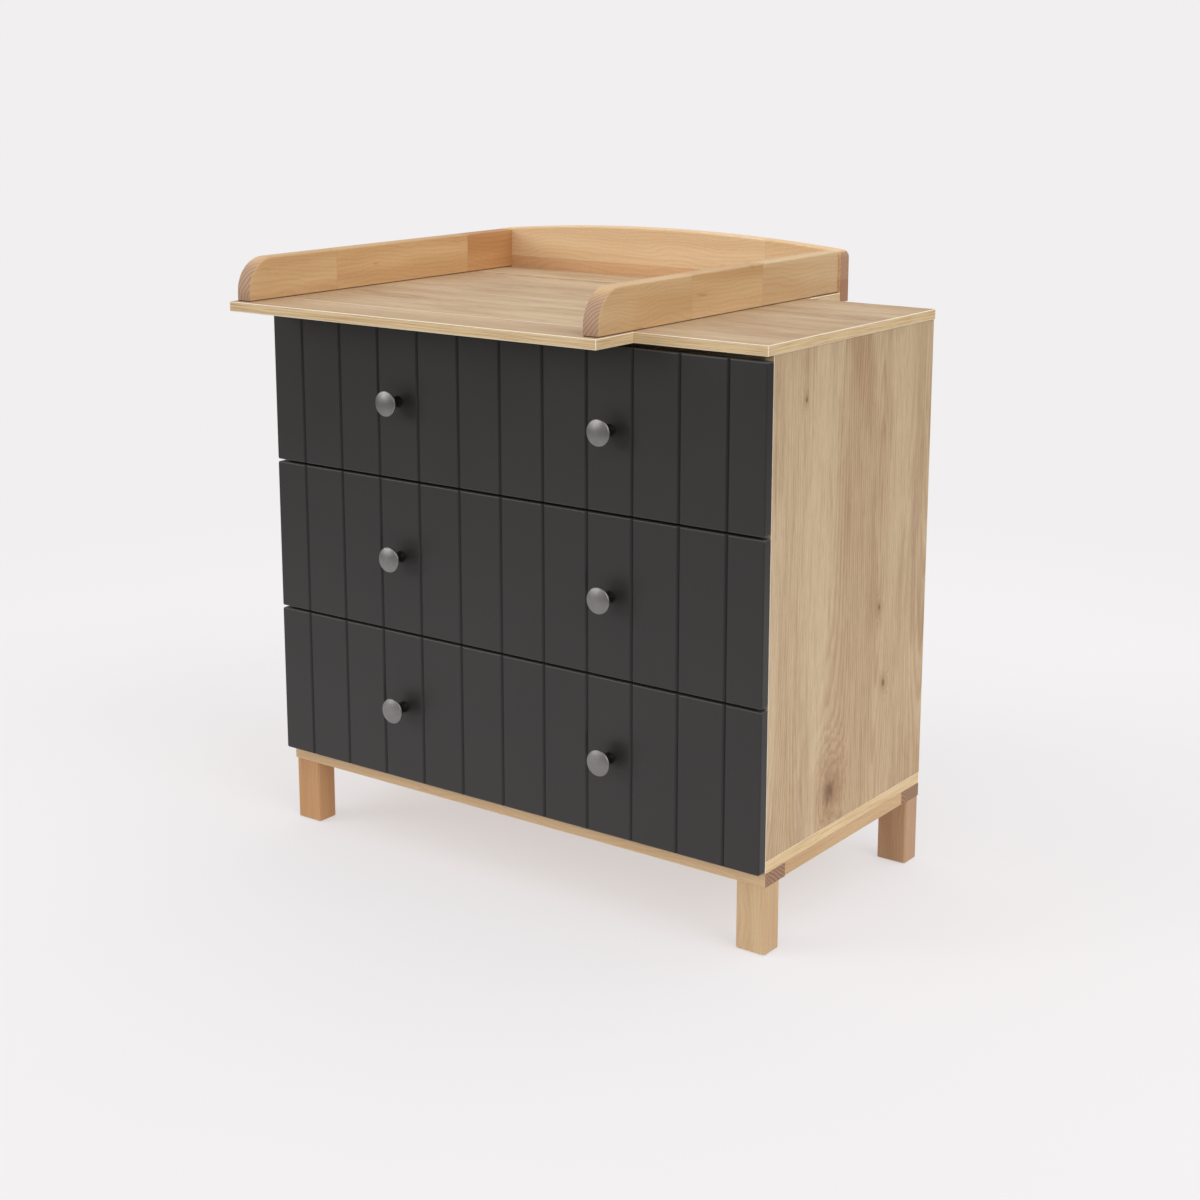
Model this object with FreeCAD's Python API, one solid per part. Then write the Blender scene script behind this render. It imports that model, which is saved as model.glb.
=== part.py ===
"""A changing table: a chest of three drawers with a rimmed changing frame on its top board.

Millimetres. X runs along the width, the drawers open towards -Y, Z is up from the floor.
The origin is on the floor, under the middle of the whole piece's outline.
"""
import FreeCAD, Part
import math
import os

# Overall sizes
SURFACE_HEIGHT = 915.0
TOP_LENGTH = 960.0
TOP_DEPTH = 496.0
BOARD = 16.0
EDGE_RADIUS = 1.5

# Changing frame: two strips level with the top board, two side rails and a back rail on them
FRAME_LENGTH = 737.0
FRAME_OVERHANG = 5.0
FRONT_STRIP = 93.0
BACK_STRIP = 98.0
RAIL = 28.0
RAIL_HEIGHT = 69.0
RAIL_INSET_END = 5.5
RAIL_INSET_FRONT = 12.5
RAIL_NOSE_STRAIGHT = 14.0
RAIL_ARRIS = 3.0
RAIL_FOOT_ARRIS = 2.0
ARCH_RISE = 18.0
ARCH_CORNER = 12.0

# Carcass
CARCASS_LENGTH = 956.0
PANEL_ARRIS = 1.0
CARCASS_SETBACK = 19.0
BOTTOM_BOARD = 18.0
BOTTOM_BACK_SETBACK = 1.5
BACK_PANEL = 3.0
BACK_PANEL_SETBACK = 8.0
GROOVE = 6.0
STRETCHER_DEPTH = 80.0
STRETCHER_SETBACK = 35.0

# Base frame and legs
BASE_LENGTH = 958.0
BASE_FRONT_SETBACK = 18.0
BASE_BACK_SETBACK = 2.0
BASE_RAIL_WIDTH = 56.0
BASE_RAIL_HEIGHT = 22.0
BASE_SIDE_RECESS = 1.5
BASE_ARRIS = 1.2
LEG_WIDTH = 52.0
LEG_DEPTH = 40.0
LEG_HEIGHT = 109.0
LEG_ARRIS = 4.5
LEG_FOOT_ARRIS = 1.5
LEG_FRONT_INSET = 2.0
LEG_END_INSET = 0.5
GLIDE = 1.5
GLIDE_RADIUS = 13.0

# Drawer fronts
FRONT_NAMES = ("bottom", "middle", "top")
FRONT_LENGTH = 959.0
FRONT_HEIGHT = 250.0
FRONT_GAP = 4.0
FRONT_FOOT = 133.5
FRONT_PROUD = 1.0
FRONT_CORNER = 3.0
FRONT_ARRIS = 2.0
V_GROOVES = 11
V_PITCH = 83.1
V_WIDTH = 6.4
V_DEPTH = 2.8

# Drawer boxes
BOX_WALL = 12.0
WALL_ARRIS = 1.5
BOX_HEIGHT = 180.0
BOX_DEPTH = 450.0
BOX_LIFT = 22.0
BOX_FLOOR = 5.0
BOX_FLOOR_LIFT = 10.0

# Telescopic slides, each in three nested steel channels
SLIDE_SPACE = 13.0
SLIDE_STEEL = 1.2
SLIDE_LENGTH = 450.0
SLIDE_LIFT = 60.0
OUTER_HALF_HEIGHT = 22.5
MIDDLE_HALF_HEIGHT = 20.0
INNER_HALF_HEIGHT = 17.5
OUTER_DEPTH = 8.5
MIDDLE_GAP = 3.6
MIDDLE_DEPTH = 7.0
INNER_DEPTH = 7.0
SLIDE_SETBACK = 2.0

# Knobs
KNOB_SPACING = 417.0
KNOB_RADIUS = 21.0
KNOB_PROJECTION = 33.0
KNOB_STEM = 9.5
KNOB_NECK = 8.2
KNOB_DOME = 3.0
KNOB_RIM = 5.0
KNOB_RIM_BULGE = 1.5
KNOB_FOOT = 1.5
KNOB_NECK_PLACE = 10.0
KNOB_NECK_FLARE = (1.0, 6.0)
KNOB_BACK_CURVE = (8.0, 1.6)

# Fasteners. A screw is its radius and its length
DOWEL_RADIUS = 4.0
DOWEL_LENGTH = 30.0
PANEL_DOWEL_DEPTH = 20.0
PANEL_DOWEL_FROM_END = 60.0
STRETCHER_DOWEL_DEPTH = 18.0
STRETCHER_DOWEL_PLACES = (11.0, 43.0)
BASE_DOWEL_PLACES = (15.0, 42.0)
STRIP_DOWEL_SHARES = (0.25, 0.5, 0.75)
CAM_RADIUS = 7.5
CAM_DEPTH = 12.5
CAM_SETBACK = 34.0
CAM_FROM_END = 95.0
CAM_BOLT_RADIUS = 3.0
CAM_BOLT_SCREWED = 11.0
CAM_BOLT_END = 4.0
SCREW_HEAD_HEIGHT = 3.0
LEG_SCREW = (3.0, 70.0)
LEG_SCREW_ASIDE = 13.0
BASE_SCREW = (2.5, 35.0)
BASE_SCREW_SPACING = 300.0
BASE_SCREW_SETBACK = 30.0
RAIL_SCREW = (2.5, 50.0)
RAIL_SCREWS_ON_FRONT_STRIP = (30.0, 75.0)
RAIL_SCREWS_ON_TOP = (170.0, 436.0)
RAIL_SCREWS_FROM_BACK = (80.0, 60.0)
BACK_RAIL_SCREW = (2.5, 70.0)
BACK_RAIL_SCREW_LIFTS = (18.0, 48.0)
BACK_RAIL_SCREW_SHARES = (0.2, 0.5, 0.8)
WALL_SCREW = (2.0, 45.0)
WALL_SCREW_LIFTS = (35.0, 90.0, 150.0)
KNOB_SCREW_RADIUS = 2.0
KNOB_SCREW_HEAD = 4.0
KNOB_SCREW_HEAD_HEIGHT = 2.2
KNOB_SCREW_BITE = 16.0
BRACKET_LEG = 24.0
BRACKET_WIDTH = 20.0
BRACKET_STEEL = 2.0
BRACKET_LIFTS = (45.0, 135.0)
BRACKET_SCREW_RADIUS = 1.8
BRACKET_SCREW_LENGTH = 11.0
BRACKET_SCREW_SHARE = 0.6

# Places worked out from the sizes
TOTAL_LENGTH = TOP_LENGTH + FRAME_OVERHANG
TOTAL_DEPTH = FRONT_STRIP + TOP_DEPTH + BACK_STRIP + RAIL
X_LEFT = -TOTAL_LENGTH / 2
X_RIGHT = TOTAL_LENGTH / 2
X_MID = (X_LEFT + FRAME_OVERHANG + X_RIGHT) / 2
Y_STRIP = -TOTAL_DEPTH / 2
Y_TOP = Y_STRIP + FRONT_STRIP
Y_TOP_BACK = Y_TOP + TOP_DEPTH
Y_RAIL_END = Y_TOP_BACK + BACK_STRIP
Y_CARCASS = Y_TOP + CARCASS_SETBACK
Y_FACE = Y_TOP - FRONT_PROUD
Y_FRONT_BACK = Y_FACE + BOARD
Y_BASE = Y_TOP + BASE_FRONT_SETBACK
Y_BASE_BACK = Y_TOP_BACK - BASE_BACK_SETBACK
Z_UNDER_TOP = SURFACE_HEIGHT - BOARD
Z_BOARD_FOOT = LEG_HEIGHT + BASE_RAIL_HEIGHT
Z_INSIDE = Z_BOARD_FOOT + BOTTOM_BOARD
PANEL_INNER = CARCASS_LENGTH / 2 - BOARD
BOX_OUTER = PANEL_INNER - SLIDE_SPACE
BOX_INNER = BOX_OUTER - BOX_WALL

UP = FreeCAD.Vector(0, 0, 1)
RIGHT = FreeCAD.Vector(1, 0, 0)
BACK = FreeCAD.Vector(0, 1, 0)


def block(x, y, z):
    """A box from three (low, high) pairs."""
    corner = FreeCAD.Vector(x[0], y[0], z[0])
    return Part.makeBox(x[1] - x[0], y[1] - y[0], z[1] - z[0], corner)


def rod(x, y, z, radius, length, axis):
    """A cylinder of a length along an axis, from a point."""
    return Part.makeCylinder(radius, length, FreeCAD.Vector(x, y, z), axis)


def edges_along(shape, axis):
    """The straight edges of a shape that run along an axis."""
    found = []
    for edge in shape.Edges:
        if len(edge.Vertexes) < 2:
            continue
        run = edge.Vertexes[1].Point - edge.Vertexes[0].Point
        if run.Length > 0 and abs(run.dot(axis)) > 0.999 * run.Length:
            found.append(edge)
    return found


def eased(shape, radius):
    """A board with every arris rounded."""
    return shape.makeFillet(radius, shape.Edges)


def mirrored(shape):
    """The same shape on the other side of the chest's middle plane."""
    return shape.mirror(FreeCAD.Vector(X_MID, 0, 0), RIGHT)


def both_sides(shape):
    """A piece and its mirror image, left one first."""
    return [mirrored(shape), shape]


def save(name, solids):
    """Write one node from its solids."""
    os.makedirs("parts", exist_ok=True)
    shape = solids[0] if len(solids) == 1 else Part.makeCompound(solids)
    shape.exportStep("parts/" + name + ".step")


def turned(profile, x, y, z):
    """A solid of revolution about a line along -Y, from (radius, height) points and arcs.

    Each step of the profile is a point, or a pair of points for an arc through the first.
    """
    def place(point):
        return FreeCAD.Vector(x + point[0], y - point[1], z)

    edges = []
    last = place(profile[0])
    for step in profile[1:]:
        if isinstance(step[0], tuple):
            end = place(step[1])
            edges.append(Part.Arc(last, place(step[0]), end).toShape())
        else:
            end = place(step)
            edges.append(Part.makeLine(last, end))
        last = end
    edges.append(Part.makeLine(last, place(profile[0])))
    face = Part.Face(Part.Wire(edges))
    return face.revolve(FreeCAD.Vector(x, y, z), FreeCAD.Vector(0, -1, 0), 360)


def countersunk_screw(x, y, z, radius, length, axis):
    """A flat-headed screw from its head's outer face, along an axis."""
    start = FreeCAD.Vector(x, y, z)
    head = Part.makeCone(2 * radius, radius, SCREW_HEAD_HEIGHT, start, axis)
    shank = Part.makeCylinder(radius, length, start, axis)
    return head.fuse(shank).removeSplitter()


def front_foot(tier):
    """The height of a drawer front's lower edge, counted from the lowest drawer."""
    return FRONT_FOOT + tier * (FRONT_HEIGHT + FRONT_GAP)


def box_foot(tier):
    """The height of a drawer box's lower edge."""
    return front_foot(tier) + BOX_LIFT


def slide_height(tier):
    """The height of a slide's middle line."""
    return box_foot(tier) + SLIDE_LIFT


# Fastener places, each a list used for the fastener and for the holes it sits in

def panel_dowels():
    """Upright dowels between each side panel and the top and bottom boards."""
    rods = []
    x = X_MID + PANEL_INNER + BOARD / 2
    feet = (Z_UNDER_TOP - PANEL_DOWEL_DEPTH, Z_INSIDE + PANEL_DOWEL_DEPTH - DOWEL_LENGTH)
    for y in (Y_CARCASS + PANEL_DOWEL_FROM_END, Y_TOP_BACK - PANEL_DOWEL_FROM_END):
        for z in feet:
            rods += both_sides(rod(x, y, z, DOWEL_RADIUS, DOWEL_LENGTH, UP))
    return rods


def stretcher_dowels():
    """Level dowels between the front stretcher and the side panels."""
    rods = []
    x = X_MID + PANEL_INNER - STRETCHER_DOWEL_DEPTH
    z = Z_UNDER_TOP - BOARD / 2
    for place in STRETCHER_DOWEL_PLACES:
        y = Y_CARCASS + STRETCHER_SETBACK + place
        rods += both_sides(rod(x, y, z, DOWEL_RADIUS, DOWEL_LENGTH, RIGHT))
    return rods


def base_dowels():
    """Dowels between the base frame's side rails and its front and back rails."""
    rods = []
    z = LEG_HEIGHT + BASE_RAIL_HEIGHT / 2
    for from_end in BASE_DOWEL_PLACES:
        x = X_MID + BASE_LENGTH / 2 - from_end
        for y in (Y_BASE + BASE_RAIL_WIDTH, Y_BASE_BACK - BASE_RAIL_WIDTH):
            rods += both_sides(rod(x, y - DOWEL_LENGTH / 2, z, DOWEL_RADIUS, DOWEL_LENGTH, BACK))
    return rods


def strip_dowels():
    """Dowels that keep the changing frame's strips level with the top board."""
    rods = []
    for share in STRIP_DOWEL_SHARES:
        x = X_LEFT + share * FRAME_LENGTH
        for y in (Y_TOP, Y_TOP_BACK):
            z = SURFACE_HEIGHT - BOARD / 2
            rods.append(rod(x, y - DOWEL_LENGTH / 2, z, DOWEL_RADIUS, DOWEL_LENGTH, BACK))
    return rods


def cam_places():
    """Each cam fitting: its place along the depth, its board's face and the way to the board."""
    places = []
    for y in (Y_CARCASS + CAM_FROM_END, Y_TOP_BACK - CAM_FROM_END):
        places.append((y, Z_UNDER_TOP, -1))
        places.append((y, Z_INSIDE, 1))
    return places


def cam_housings():
    """The round cam locks let into the side panels' inner faces, each round its bolt's end."""
    locks = []
    for y, board_face, way in cam_places():
        z = board_face + way * CAM_SETBACK
        lock = rod(X_MID + PANEL_INNER, y, z, CAM_RADIUS, CAM_DEPTH, RIGHT)
        locks += both_sides(lock)
    return [drilled(lock, cam_bolts()) for lock in locks]


def cam_bolts():
    """The bolts that the cam locks pull on, screwed into the top and bottom boards."""
    bolts = []
    for y, board_face, way in cam_places():
        reach = CAM_SETBACK - CAM_BOLT_END
        x = X_MID + PANEL_INNER + BOARD / 2
        z = board_face + way * reach if way < 0 else board_face - CAM_BOLT_SCREWED
        length = reach + CAM_BOLT_SCREWED
        bolts += both_sides(rod(x, y, z, CAM_BOLT_RADIUS, length, UP))
    return bolts


def leg_screws():
    """Long screws down through the base frame into the legs."""
    screws = []
    x = X_MID + BASE_LENGTH / 2 - LEG_END_INSET - LEG_WIDTH / 2
    for y in (Y_BASE + LEG_FRONT_INSET + LEG_DEPTH / 2, Y_BASE_BACK - LEG_DEPTH / 2):
        for aside in (-LEG_SCREW_ASIDE, LEG_SCREW_ASIDE):
            screw = countersunk_screw(x + aside, y, Z_BOARD_FOOT, *LEG_SCREW, -UP)
            screws += both_sides(screw)
    return screws


def base_screws():
    """Screws up through the base frame into the bottom board."""
    screws = []
    for place in (-1, 0, 1):
        x = X_MID + place * BASE_SCREW_SPACING
        for y in (Y_BASE + BASE_SCREW_SETBACK, Y_BASE_BACK - BASE_SCREW_SETBACK):
            screws.append(countersunk_screw(x, y, LEG_HEIGHT, *BASE_SCREW, UP))
    return screws


def rail_x(side):
    """The middle of a side rail's thickness: 0 for the left rail, 1 for the right."""
    left = X_LEFT + RAIL_INSET_END + RAIL / 2
    right = X_LEFT + FRAME_LENGTH - RAIL_INSET_END - RAIL / 2
    return (left, right)[side]


def rail_screws():
    """Screws up into the side rails: through the strips, and on the right through the top."""
    on_strips = [Y_STRIP + place for place in RAIL_SCREWS_ON_FRONT_STRIP]
    on_strips += [Y_RAIL_END - place for place in RAIL_SCREWS_FROM_BACK]
    on_top = [Y_TOP + place for place in RAIL_SCREWS_ON_TOP]
    screws = []
    for side, depths in ((0, on_strips), (1, on_strips + on_top)):
        for y in depths:
            screws.append(countersunk_screw(rail_x(side), y, Z_UNDER_TOP, *RAIL_SCREW, UP))
    return screws


def back_rail_screws():
    """Screws through the back rail into the ends of the side rails and the back strip."""
    screws = []
    y = Y_RAIL_END + RAIL
    for side in (0, 1):
        for lift in BACK_RAIL_SCREW_LIFTS:
            z = SURFACE_HEIGHT + lift
            screws.append(countersunk_screw(rail_x(side), y, z, *BACK_RAIL_SCREW, -BACK))
    for share in BACK_RAIL_SCREW_SHARES:
        x = X_LEFT + share * FRAME_LENGTH
        z = SURFACE_HEIGHT - BOARD / 2
        screws.append(countersunk_screw(x, y, z, *BACK_RAIL_SCREW, -BACK))
    return screws


def drilled(shape, fillings):
    """A piece with the holes for the fasteners that enter it."""
    entering = []
    for filling in fillings:
        if shape.BoundBox.intersect(filling.BoundBox):
            entering.append(filling)
    return shape.cut(entering) if entering else shape


# Pieces of the chest

def top_board():
    """The chest's top, drilled for the frame's screws and the carcass's fasteners."""
    x = (X_MID - TOP_LENGTH / 2, X_MID + TOP_LENGTH / 2)
    board = eased(block(x, (Y_TOP, Y_TOP_BACK), (Z_UNDER_TOP, SURFACE_HEIGHT)), EDGE_RADIUS)
    return drilled(board, panel_dowels() + strip_dowels() + cam_bolts() + rail_screws())


def back_panel_space():
    """The room that the back panel takes, tongues included."""
    y = Y_TOP_BACK - BACK_PANEL_SETBACK - BACK_PANEL
    half = PANEL_INNER + GROOVE
    x = (X_MID - half, X_MID + half)
    return block(x, (y, y + BACK_PANEL), (Z_INSIDE, Z_UNDER_TOP))


def side_panel():
    """The right side panel, with its groove for the back panel."""
    x = (X_MID + PANEL_INNER, X_MID + PANEL_INNER + BOARD)
    panel = block(x, (Y_CARCASS, Y_TOP_BACK), (Z_INSIDE, Z_UNDER_TOP))
    panel = panel.makeFillet(PANEL_ARRIS, edges_along(panel, UP))
    panel = panel.cut(back_panel_space())
    fillings = panel_dowels() + stretcher_dowels() + cam_housings() + cam_bolts()
    return drilled(panel, fillings)


def bottom_board():
    """The board between the side panels and the base frame."""
    x = (X_MID - CARCASS_LENGTH / 2, X_MID + CARCASS_LENGTH / 2)
    y = (Y_CARCASS, Y_TOP_BACK - BOTTOM_BACK_SETBACK)
    board = eased(block(x, y, (Z_BOARD_FOOT, Z_INSIDE)), PANEL_ARRIS)
    return drilled(board, panel_dowels() + cam_bolts() + base_screws())


def front_stretcher():
    """The board under the top's front edge, between the side panels."""
    x = (X_MID - PANEL_INNER, X_MID + PANEL_INNER)
    y = Y_CARCASS + STRETCHER_SETBACK
    z = (Z_UNDER_TOP - BOARD, Z_UNDER_TOP)
    return drilled(block(x, (y, y + STRETCHER_DEPTH), z), stretcher_dowels())


def base_rails():
    """The base frame's front, back, left and right rails."""
    z = (LEG_HEIGHT, Z_BOARD_FOOT)
    half = BASE_LENGTH / 2
    x = (X_MID - half, X_MID + half)
    y_front = (Y_BASE, Y_BASE + BASE_RAIL_WIDTH)
    y_back = (Y_BASE_BACK - BASE_RAIL_WIDTH, Y_BASE_BACK)
    x_side = (X_MID + half - BASE_SIDE_RECESS - BASE_RAIL_WIDTH, X_MID + half - BASE_SIDE_RECESS)
    fillings = base_dowels() + leg_screws() + base_screws()
    rails = {
        "base_front_rail": eased(block(x, y_front, z), BASE_ARRIS),
        "base_back_rail": eased(block(x, y_back, z), BASE_ARRIS),
    }
    side = block(x_side, (y_front[1], y_back[0]), z)
    side = side.makeFillet(BASE_ARRIS, edges_along(side, BACK))
    rails["base_right_rail"] = side
    rails["base_left_rail"] = mirrored(side)
    return {name: drilled(rail, fillings) for name, rail in rails.items()}


def legs():
    """The four legs and the glides under them."""
    x = X_MID + BASE_LENGTH / 2 - LEG_END_INSET
    starts = {"front": Y_BASE + LEG_FRONT_INSET, "back": Y_BASE_BACK - LEG_DEPTH}
    found = {}
    glides = []
    for end, y in starts.items():
        leg = block((x - LEG_WIDTH, x), (y, y + LEG_DEPTH), (GLIDE, LEG_HEIGHT))
        leg = leg.makeFillet(LEG_ARRIS, edges_along(leg, UP))
        foot = [edge for edge in leg.Edges if edge.BoundBox.ZMax < GLIDE + 0.01]
        leg = drilled(leg.makeFillet(LEG_FOOT_ARRIS, foot), leg_screws())
        found["leg_" + end + "_right"] = leg
        found["leg_" + end + "_left"] = mirrored(leg)
        glide = rod(x - LEG_WIDTH / 2, y + LEG_DEPTH / 2, 0, GLIDE_RADIUS, GLIDE, UP)
        glides += both_sides(glide)
    return found, glides


# Pieces of the changing frame

def strip(y, fillings):
    """A strip of board level with the top, from one depth to another."""
    x = (X_LEFT, X_LEFT + FRAME_LENGTH)
    board = eased(block(x, y, (Z_UNDER_TOP, SURFACE_HEIGHT)), EDGE_RADIUS)
    return drilled(board, fillings)


def side_rail(side):
    """A side rail with its rounded nose, resting on the strips and the top board."""
    x = rail_x(side) - RAIL / 2
    y0 = Y_STRIP + RAIL_INSET_FRONT
    z0 = SURFACE_HEIGHT
    z1 = SURFACE_HEIGHT + RAIL_HEIGHT
    nose = RAIL_HEIGHT - RAIL_NOSE_STRAIGHT
    slant = nose * (1 - math.cos(math.pi / 4))
    start = FreeCAD.Vector(x, y0, z0 + RAIL_NOSE_STRAIGHT)
    through = FreeCAD.Vector(x, y0 + slant, z1 - slant)
    end = FreeCAD.Vector(x, y0 + nose, z1)
    edges = [
        Part.makeLine(FreeCAD.Vector(x, y0, z0), start),
        Part.Arc(start, through, end).toShape(),
        Part.makeLine(end, FreeCAD.Vector(x, Y_RAIL_END, z1)),
        Part.makeLine(FreeCAD.Vector(x, Y_RAIL_END, z1), FreeCAD.Vector(x, Y_RAIL_END, z0)),
        Part.makeLine(FreeCAD.Vector(x, Y_RAIL_END, z0), FreeCAD.Vector(x, y0, z0)),
    ]
    rail = Part.Face(Part.Wire(edges)).extrude(RAIL * RIGHT)
    soft = []
    for edge in rail.Edges:
        box = edge.BoundBox
        along = box.XLength < 0.01
        if along and box.ZMax > z0 + 1 and box.YMin < Y_RAIL_END - 1:
            soft.append(edge)
    rail = rail.makeFillet(RAIL_ARRIS, soft)
    foot = [edge for edge in edges_along(rail, BACK) if edge.BoundBox.ZMax < z0 + 0.01]
    rail = rail.makeFillet(RAIL_FOOT_ARRIS, foot)
    return drilled(rail, rail_screws() + back_rail_screws())


def back_rail():
    """The back rail, with its low arch and rounded top corners."""
    x0 = X_LEFT
    x1 = X_LEFT + FRAME_LENGTH
    xm = (x0 + x1) / 2
    z0 = Z_UNDER_TOP
    z_end = SURFACE_HEIGHT + RAIL_HEIGHT
    left_end = FreeCAD.Vector(x0, Y_RAIL_END, z_end)
    crown = FreeCAD.Vector(xm, Y_RAIL_END, z_end + ARCH_RISE)
    right_end = FreeCAD.Vector(x1, Y_RAIL_END, z_end)
    foot_left = FreeCAD.Vector(x0, Y_RAIL_END, z0)
    foot_right = FreeCAD.Vector(x1, Y_RAIL_END, z0)
    edges = [
        Part.makeLine(foot_left, left_end),
        Part.Arc(left_end, crown, right_end).toShape(),
        Part.makeLine(right_end, foot_right),
        Part.makeLine(foot_right, foot_left),
    ]
    rail = Part.Face(Part.Wire(edges)).extrude(RAIL * BACK)
    corners = [edge for edge in edges_along(rail, BACK) if edge.BoundBox.ZMin > z0 + 1]
    rail = rail.makeFillet(ARCH_CORNER, corners)
    soft = []
    for edge in rail.Edges:
        box = edge.BoundBox
        if box.YLength < 0.01 and box.ZMax > z0 + 1:
            soft.append(edge)
    rail = rail.makeFillet(RAIL_ARRIS, soft)
    return drilled(rail, back_rail_screws())


# Pieces of the drawers

def knob_places(tier):
    """The middles of a drawer's two knobs on the front's face."""
    z = front_foot(tier) + FRONT_HEIGHT / 2
    return [(X_MID + side * KNOB_SPACING / 2, z) for side in (-1, 1)]


def knob(x, z):
    """A turned knob: a waisted stem under a shallow domed disc."""
    rim_back = KNOB_PROJECTION - KNOB_DOME - KNOB_RIM
    rim_front = KNOB_PROJECTION - KNOB_DOME
    edge = KNOB_RADIUS - KNOB_RIM_BULGE
    sphere = (edge ** 2 + KNOB_DOME ** 2) / (2 * KNOB_DOME)
    half_way = KNOB_PROJECTION - sphere + math.sqrt(sphere ** 2 - (edge / 2) ** 2)
    flare, flare_start = KNOB_NECK_FLARE
    curve, hollow = KNOB_BACK_CURVE
    profile = [
        (0, 0),
        (KNOB_STEM, 0),
        (KNOB_STEM, KNOB_FOOT),
        ((KNOB_NECK, KNOB_NECK_PLACE), (KNOB_NECK + flare, rim_back - flare_start)),
        ((KNOB_RADIUS - curve, rim_back - hollow), (edge, rim_back)),
        ((KNOB_RADIUS, (rim_back + rim_front) / 2), (edge, rim_front)),
        ((edge / 2, half_way), (0, KNOB_PROJECTION)),
    ]
    return turned(profile, x, Y_FACE, z).cut(knob_screw(x, z))


def knob_screw(x, z):
    """The screw that holds a knob, from behind the front."""
    head = rod(x, Y_FRONT_BACK, z, KNOB_SCREW_HEAD, KNOB_SCREW_HEAD_HEIGHT, BACK)
    length = BOARD + KNOB_SCREW_BITE
    shank = rod(x, Y_FRONT_BACK - length, z, KNOB_SCREW_RADIUS, length, BACK)
    return head.fuse(shank).removeSplitter()


def drawer_floor(tier):
    """The drawer's bottom panel, held in grooves all round."""
    z = box_foot(tier) + BOX_FLOOR_LIFT
    half = BOX_INNER + GROOVE
    y = (Y_FRONT_BACK - GROOVE, Y_FRONT_BACK + BOX_DEPTH - BOX_WALL + GROOVE)
    return block((X_MID - half, X_MID + half), y, (z, z + BOX_FLOOR))


def drawer_front(tier):
    """The lacquered front, its face cut by upright V-grooves."""
    half = FRONT_LENGTH / 2
    z0 = front_foot(tier)
    plate = block((X_MID - half, X_MID + half), (Y_FACE, Y_FRONT_BACK), (z0, z0 + FRONT_HEIGHT))
    plate = plate.makeFillet(FRONT_CORNER, edges_along(plate, BACK))
    rim = [edge for edge in plate.Edges if edge.BoundBox.YMax < Y_FACE + 0.01]
    plate = plate.makeFillet(FRONT_ARRIS, rim)
    cutters = []
    for count in range(V_GROOVES):
        x = X_MID + (count - (V_GROOVES - 1) / 2) * V_PITCH
        points = [
            FreeCAD.Vector(x - V_WIDTH / 2, Y_FACE, z0 - 1),
            FreeCAD.Vector(x, Y_FACE + V_DEPTH, z0 - 1),
            FreeCAD.Vector(x + V_WIDTH / 2, Y_FACE, z0 - 1),
            FreeCAD.Vector(x, Y_FACE - V_DEPTH, z0 - 1),
        ]
        section = Part.Face(Part.makePolygon(points + points[:1]))
        cutters.append(section.extrude((FRONT_HEIGHT + 2) * UP))
    plate = plate.cut(cutters)
    return drilled(plate, [drawer_floor(tier)] + drawer_screws(tier))


def drawer_walls(tier):
    """The drawer box's left and right sides and its back."""
    z = (box_foot(tier), box_foot(tier) + BOX_HEIGHT)
    y = (Y_FRONT_BACK, Y_FRONT_BACK + BOX_DEPTH)
    floor = drawer_floor(tier)
    side = block((X_MID + BOX_INNER, X_MID + BOX_OUTER), y, z)
    upper = [edge for edge in edges_along(side, BACK) if edge.BoundBox.ZMin > z[1] - 1]
    side = side.makeFillet(WALL_ARRIS, upper)
    fillings = [floor] + drawer_screws(tier)
    right = drilled(side, fillings)
    left = drilled(mirrored(side), fillings)
    back = block((X_MID - BOX_INNER, X_MID + BOX_INNER), (y[1] - BOX_WALL, y[1]), z)
    return left, right, drilled(back, fillings)


def wall_screws(tier):
    """Screws through the drawer's sides into the ends of its back."""
    screws = []
    y = Y_FRONT_BACK + BOX_DEPTH - BOX_WALL / 2
    for lift in WALL_SCREW_LIFTS:
        z = box_foot(tier) + lift
        screws += both_sides(countersunk_screw(X_MID + BOX_OUTER, y, z, *WALL_SCREW, -RIGHT))
    return screws


def bracket_screws(tier):
    """Short screws from the steel angles into the drawer's front and sides."""
    screws = []
    x = X_MID + BOX_INNER
    reach = BRACKET_LEG * BRACKET_SCREW_SHARE
    for lift in BRACKET_LIFTS:
        z = box_foot(tier) + lift
        size = (BRACKET_SCREW_RADIUS, BRACKET_SCREW_LENGTH)
        screws += both_sides(rod(x - reach, Y_FRONT_BACK + BRACKET_STEEL, z, *size, -BACK))
        screws += both_sides(rod(x - BRACKET_STEEL, Y_FRONT_BACK + reach, z, *size, RIGHT))
    return screws


def brackets(tier):
    """Steel angles in the drawer's front corners, from each side to the front."""
    pieces = []
    x = (X_MID + BOX_INNER - BRACKET_LEG, X_MID + BOX_INNER)
    y = (Y_FRONT_BACK, Y_FRONT_BACK + BRACKET_LEG)
    for lift in BRACKET_LIFTS:
        middle = box_foot(tier) + lift
        z = (middle - BRACKET_WIDTH / 2, middle + BRACKET_WIDTH / 2)
        whole = block(x, y, z)
        inside = block((x[0], x[1] - BRACKET_STEEL), (y[0] + BRACKET_STEEL, y[1]), z)
        pieces += both_sides(drilled(whole.cut(inside), bracket_screws(tier)))
    return pieces


def drawer_screws(tier):
    """All the screws of a drawer."""
    knobs = [knob_screw(x, z) for x, z in knob_places(tier)]
    return wall_screws(tier) + bracket_screws(tier) + knobs


def channel(x_web, way, depth, half_height, y, z):
    """A steel channel with its web at one plane and its lips turned one way along X."""
    x_far = x_web + way * depth
    outer = block(sorted((x_web, x_far)), y, (z - half_height, z + half_height))
    inside = half_height - SLIDE_STEEL
    x_inside = x_web + way * SLIDE_STEEL
    hollow = block(sorted((x_inside, x_far)), y, (z - inside, z + inside))
    return outer.cut(hollow)


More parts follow.
